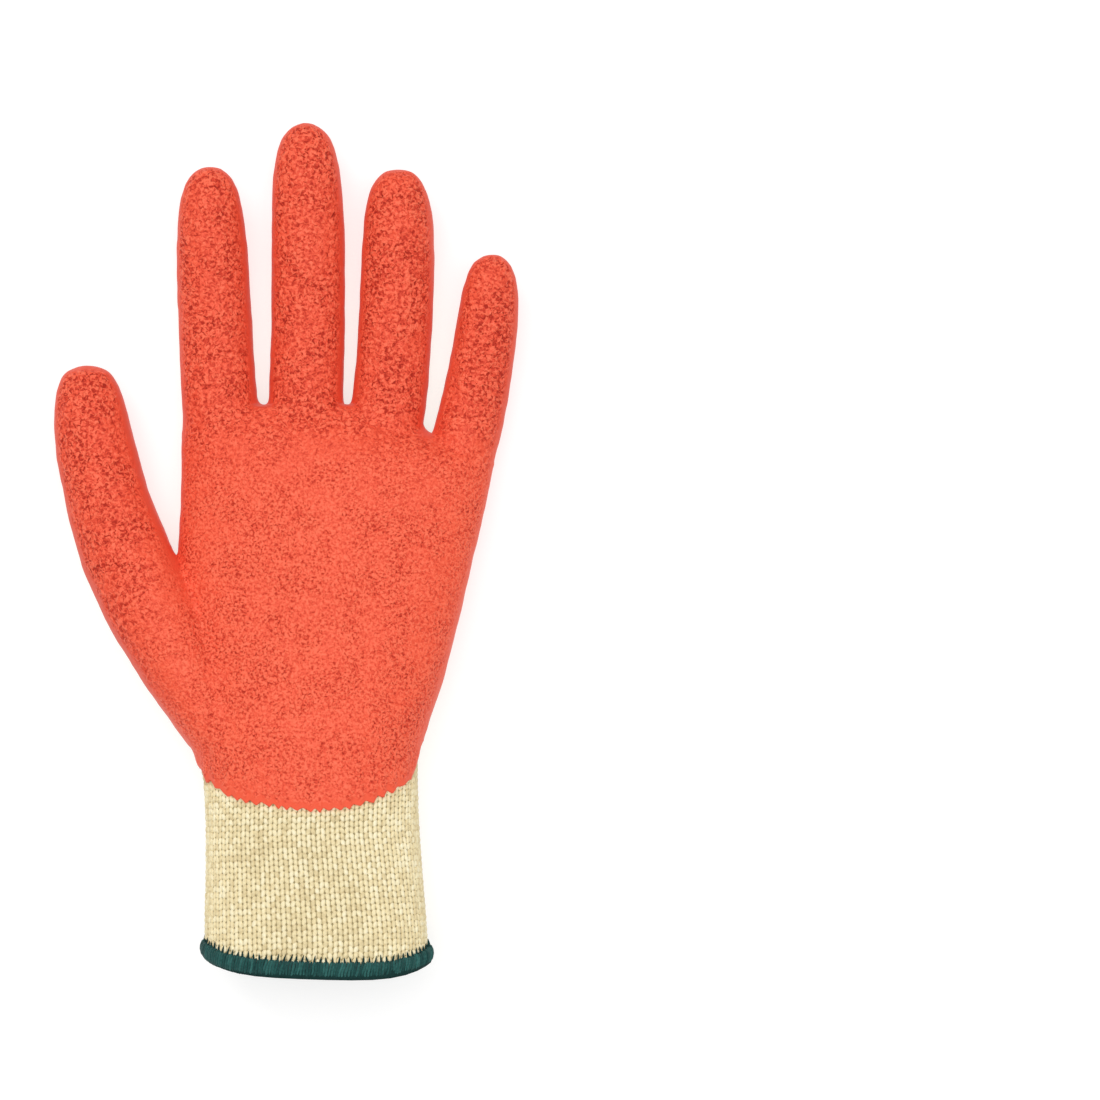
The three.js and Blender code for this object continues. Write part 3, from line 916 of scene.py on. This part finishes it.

# %% [markdown]
# ## Colours and surfaces
# Each material is built from nodes on Object coordinates, so its pattern has the same real size wherever
# it lies. Rubber is duller in its pits than on its ridges, and its colour is darker in the pits, as
# painted shade, and lighter on the ridges, as a painted highlight; the fingers are painted darker all over
# as painted shade. Yarn is rough, a little fuzzy and flecked, with a shade of its own for each stitch,
# which comes from the mesh. The plain wall under the stitches and the hem's core behind its loops are dark
# as painted shade.


# %% Node helpers
class Finish:
    """A material with short ways to add the nodes that are used here"""

    def __init__(self, name, base, roughness):
        self.material = bpy.data.materials.new(name)
        self.material.use_nodes = True
        self.material.diffuse_color = (*base, 1)
        self.nodes = self.material.node_tree.nodes
        self.links = self.material.node_tree.links
        self.shader = self.nodes["Principled BSDF"]
        self.shader.inputs["Base Color"].default_value = (*base, 1)
        self.shader.inputs["Roughness"].default_value = roughness
        self.place = self.nodes.new("ShaderNodeTexCoord").outputs["Object"]

    def attribute(self, name):
        """A value that the mesh keeps for each vertex"""
        node = self.nodes.new("ShaderNodeAttribute")
        node.attribute_name = name
        return node.outputs["Fac"]

    def noise(self, scale, detail, distortion=0):
        """Cloudy noise with its cells of 1/scale metres"""
        node = self.nodes.new("ShaderNodeTexNoise")
        node.inputs["Scale"].default_value = scale
        node.inputs["Detail"].default_value = detail
        node.inputs["Distortion"].default_value = distortion
        self.links.new(self.place, node.inputs["Vector"])
        return node.outputs["Fac"]

    def math(self, operation, *values):
        """A sum, product or other of two values, numbers or sockets"""
        node = self.nodes.new("ShaderNodeMath")
        node.operation = operation
        for socket, value in zip(node.inputs, values):
            if isinstance(value, (int, float)):
                socket.default_value = value
            else:
                self.links.new(value, socket)
        return node.outputs[0]

    def blend(self, share, a, b):
        """From value a to value b by a share"""
        node = self.nodes.new("ShaderNodeMix")
        self.links.new(share, node.inputs[0])
        for socket, value in ((node.inputs[2], a), (node.inputs[3], b)):
            if isinstance(value, (int, float)):
                socket.default_value = value
            else:
                self.links.new(value, socket)
        return node.outputs[0]

    def span(self, value, low, high, to_low=0.0, to_high=1.0):
        """A smooth step from to_low to to_high while the value goes from low to high"""
        node = self.nodes.new("ShaderNodeMapRange")
        node.interpolation_type = "SMOOTHSTEP"
        for socket, number in zip(node.inputs[1:5], (low, high, to_low, to_high)):
            socket.default_value = number
        self.links.new(value, node.inputs[0])
        return node.outputs["Result"]

    def ramp(self, value, stops):
        """A colour for each value"""
        node = self.nodes.new("ShaderNodeValToRGB")
        elements = node.color_ramp.elements
        while len(elements) < len(stops):
            elements.new(0.5)
        for element, (position, colour) in zip(elements, stops):
            element.position = position
            element.color = (*colour, 1)
        self.links.new(value, node.inputs["Fac"])
        return node.outputs["Color"]

    def bump(self, height, distance, strength=1.0):
        """Small relief on the shader"""
        node = self.nodes.new("ShaderNodeBump")
        node.inputs["Strength"].default_value = strength
        node.inputs["Distance"].default_value = distance
        self.links.new(height, node.inputs["Height"])
        self.links.new(node.outputs["Normal"], self.shader.inputs["Normal"])


print("node helpers ready")

# %% Rubber's pattern
palm_grain, finger_grain, patch_grain = 1300, 1000, 110  # noise cells in a metre
palm_gain, finger_gain = 1.2, 1.45  # how strong the crinkle is
# The fingers' lower value makes their rubber darker all over than the palm's: painted shade.
palm_tone, finger_tone = 0.585, 0.53  # where the colour ramp is read without crinkle
patch_noise, patch_strength = (0.36, 0.6), (0.6, 1.0)  # the crinkle is weaker where this noise is low

rubber = Finish("crinkled_rubber", (0.78, 0.08, 0.035), 0.5)
grip_share = rubber.attribute("grip")
worm_share = rubber.attribute("worms")
fine_cells = rubber.noise(palm_grain, 1.0, 0.6)
worm_cells = rubber.noise(finger_grain, 1.0, 0.8)
grain_value = rubber.blend(worm_share, fine_cells, worm_cells)
patches = rubber.span(rubber.noise(patch_grain, 2), *patch_noise, *patch_strength)
strength = rubber.math("MULTIPLY", grip_share, patches)
gain = rubber.math("MULTIPLY", strength, rubber.blend(worm_share, palm_gain, finger_gain))
relief = rubber.math("MULTIPLY", rubber.math("SUBTRACT", grain_value, 0.5), gain)
tone = rubber.math("ADD", rubber.blend(worm_share, palm_tone, finger_tone), relief)
print("rubber pattern ready")

# %% Rubber's colour and relief
relief_height = 0.6 * mm
pit_tone, ridge_tone = 0.3, 0.6
pit_roughness, ridge_roughness = 0.7, 0.45
rubber_gloss = 0.18
# The ramp paints shade into the crinkle's pits and a highlight onto its ridges: its darkest stops are
# painted shade, its lightest a painted highlight.
rubber_shade_and_highlight_stops = [
    (0.26, (0.42, 0.022, 0.01)),
    (0.4, (0.6, 0.046, 0.021)),
    (0.48, (0.75, 0.073, 0.034)),
    (0.56, (0.86, 0.1, 0.047)),
    (0.68, (0.96, 0.155, 0.08)),
]
rubber.links.new(rubber.ramp(tone, rubber_shade_and_highlight_stops), rubber.shader.inputs["Base Color"])
rubber.bump(relief, relief_height)
roughness = rubber.span(tone, pit_tone, ridge_tone, pit_roughness, ridge_roughness)
rubber.links.new(roughness, rubber.shader.inputs["Roughness"])
rubber.shader.inputs["Specular IOR Level"].default_value = rubber_gloss
coat_piece.data.materials.append(rubber.material)


# %% Yarn
fleck_share, cloud_share, shade_share = 0.5, 0.2, 0.3  # of the way along the colour ramp
cloud_grain, fibre_grain = 60, 2600  # noise cells in a metre
fibre_height, fibre_strength = 0.12 * mm, 0.6
yarn_roughness, yarn_gloss = 0.9, 0.2


def yarn_finish(name, stops, fleck_grain, sheen, shaded=True):
    """Rough yarn with flecks and fine fibres. Shaded yarn has a shade for each stitch too"""
    yarn = Finish(name, stops[1][1], yarn_roughness)
    flecks = yarn.math("MULTIPLY", yarn.noise(fleck_grain, 3), fleck_share)
    clouds = yarn.math("MULTIPLY", yarn.noise(cloud_grain, 2), cloud_share)
    own_shade = yarn.attribute("shade") if shaded else 0.5
    shade = yarn.math("MULTIPLY", own_shade, shade_share)
    tone = yarn.math("ADD", yarn.math("ADD", flecks, clouds), shade)
    yarn.links.new(yarn.ramp(tone, stops), yarn.shader.inputs["Base Color"])
    yarn.bump(yarn.noise(fibre_grain, 2), fibre_height, fibre_strength)
    yarn.shader.inputs["Sheen Weight"].default_value = sheen
    yarn.shader.inputs["Specular IOR Level"].default_value = yarn_gloss
    return yarn.material


cuff_stops = [(0.28, (0.7, 0.57, 0.32)), (0.5, (0.88, 0.76, 0.47)), (0.75, (0.96, 0.89, 0.65))]
hand_stops = [(0.28, (0.6, 0.47, 0.26)), (0.5, (0.77, 0.64, 0.38)), (0.75, (0.89, 0.79, 0.54))]
# The wall under the stitches is coloured dark as painted shade in the gaps between the legs.
ground_painted_shade_stops = [(0.28, (0.26, 0.21, 0.1)), (0.5, (0.36, 0.3, 0.16)), (0.75, (0.46, 0.39, 0.22))]
hem_stops = [(0.28, (0.006, 0.042, 0.04)), (0.5, (0.014, 0.08, 0.072)), (0.75, (0.036, 0.15, 0.135))]
# The hem's core is coloured darker than its threads as painted shade in the gaps between the loops; the
# needle threads use the same dark colour.
core_stops = [(0.28, (0.003, 0.018, 0.017)), (0.5, (0.006, 0.034, 0.031)), (0.75, (0.012, 0.06, 0.055))]
cuff_material = yarn_finish("cuff_yarn", cuff_stops, 1300, 0.15)
hand_material = yarn_finish("hand_yarn", hand_stops, 1300, 0.15)
hem_material = yarn_finish("hem_thread", hem_stops, 1500, 0.1)
ground_material = yarn_finish("knit_ground", ground_painted_shade_stops, 900, 0.0, shaded=False)
core_material = yarn_finish("hem_ground", core_stops, 1500, 0.0, shaded=False)
for obj, material in (
    (cuff_yarn, cuff_material),
    (hand_yarn, hand_material),
    (finger_yarn, hand_material),
    (hand_wall, ground_material),
    (cuff_wall, ground_material),
    (hem_loops, hem_material),
    (needle_threads, core_material),
    (hem_core, core_material),
):
    obj.data.materials.append(material)
print("materials:", sorted(material.name for material in bpy.data.materials))

# %% [markdown]
# ## Joining the pieces to the part
# Each piece rides on the part's one body. Four of the pieces take the place of solids, which are hidden.

# %% Pieces on the part
bpy.data.objects.remove(skin)
for obj, slot, node in (
    (hand_wall, "knit", "knit_liner"),
    (cuff_wall, "elastic_knit", "elastic_cuff"),
    (coat_piece, "latex", "latex_coat"),
    (hem_core, "hem_thread", "overlock_hem"),
):
    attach(obj, "root")
    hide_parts(node)
for obj, slot in (
    (hand_yarn, "knit"),
    (finger_yarn, "knit"),
    (cuff_yarn, "elastic_knit"),
    (hem_loops, "hem_thread"),
    (needle_threads, "hem_thread"),
):
    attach(obj, "root")

# %% [markdown]
# ## Floor, light and camera
# The glove is seen from straight above on a white floor, which glows a little by itself, so that it stays
# white up to the glove. A broad light hangs over it, so the sides of the fingers and of the cuff grow
# darker as they turn down. A small one beyond the thumb and the fingertips shows the relief.

# %% Floor
floor_grey = 0.45
floor_roughness = 0.8
floor_glow = 0.62
floor_mesh = bmesh.new()
bmesh.ops.create_grid(floor_mesh, x_segments=1, y_segments=1, size=4)
floor = piece("floor", floor_mesh)
white = Finish("floor_white", (floor_grey, floor_grey, floor_grey), floor_roughness)
white.shader.inputs["Emission Color"].default_value = (1, 1, 1, 1)
white.shader.inputs["Emission Strength"].default_value = floor_glow
floor.data.materials.append(white.material)

# %% Light
sky_strength = 0.48
world = bpy.data.worlds.new("studio")
world.use_nodes = True
background = world.node_tree.nodes["Background"]
background.inputs["Color"].default_value = (1, 1, 1, 1)
background.inputs["Strength"].default_value = sky_strength
bpy.context.scene.world = world


def softbox(name, place, size, power):
    """A square area light that looks at the middle of the frame"""
    light = bpy.data.lights.new(name, "AREA")
    light.shape = "SQUARE"
    light.size = size
    light.energy = power
    obj = placed(name, light)
    obj.location = place
    obj.rotation_euler = (-Vector(place)).to_track_quat("-Z", "Y").to_euler()


softbox("overhead", place=(0.1, 0.1, 1.6), size=1.2, power=15.5)
softbox("key", place=(-0.5, 0.7, 1.1), size=0.5, power=3)

# %% Camera
camera_height = 1.2
photo_middle = (77.6 * mm, -0.74 * mm)
camera_data = bpy.data.cameras.new("above")
camera_data.sensor_width = 36
camera_data.lens = 131.5
camera = placed("above", camera_data)
camera.location = (*photo_middle, camera_height)
bpy.context.scene.camera = camera
bpy.context.scene.view_settings.view_transform = "Standard"
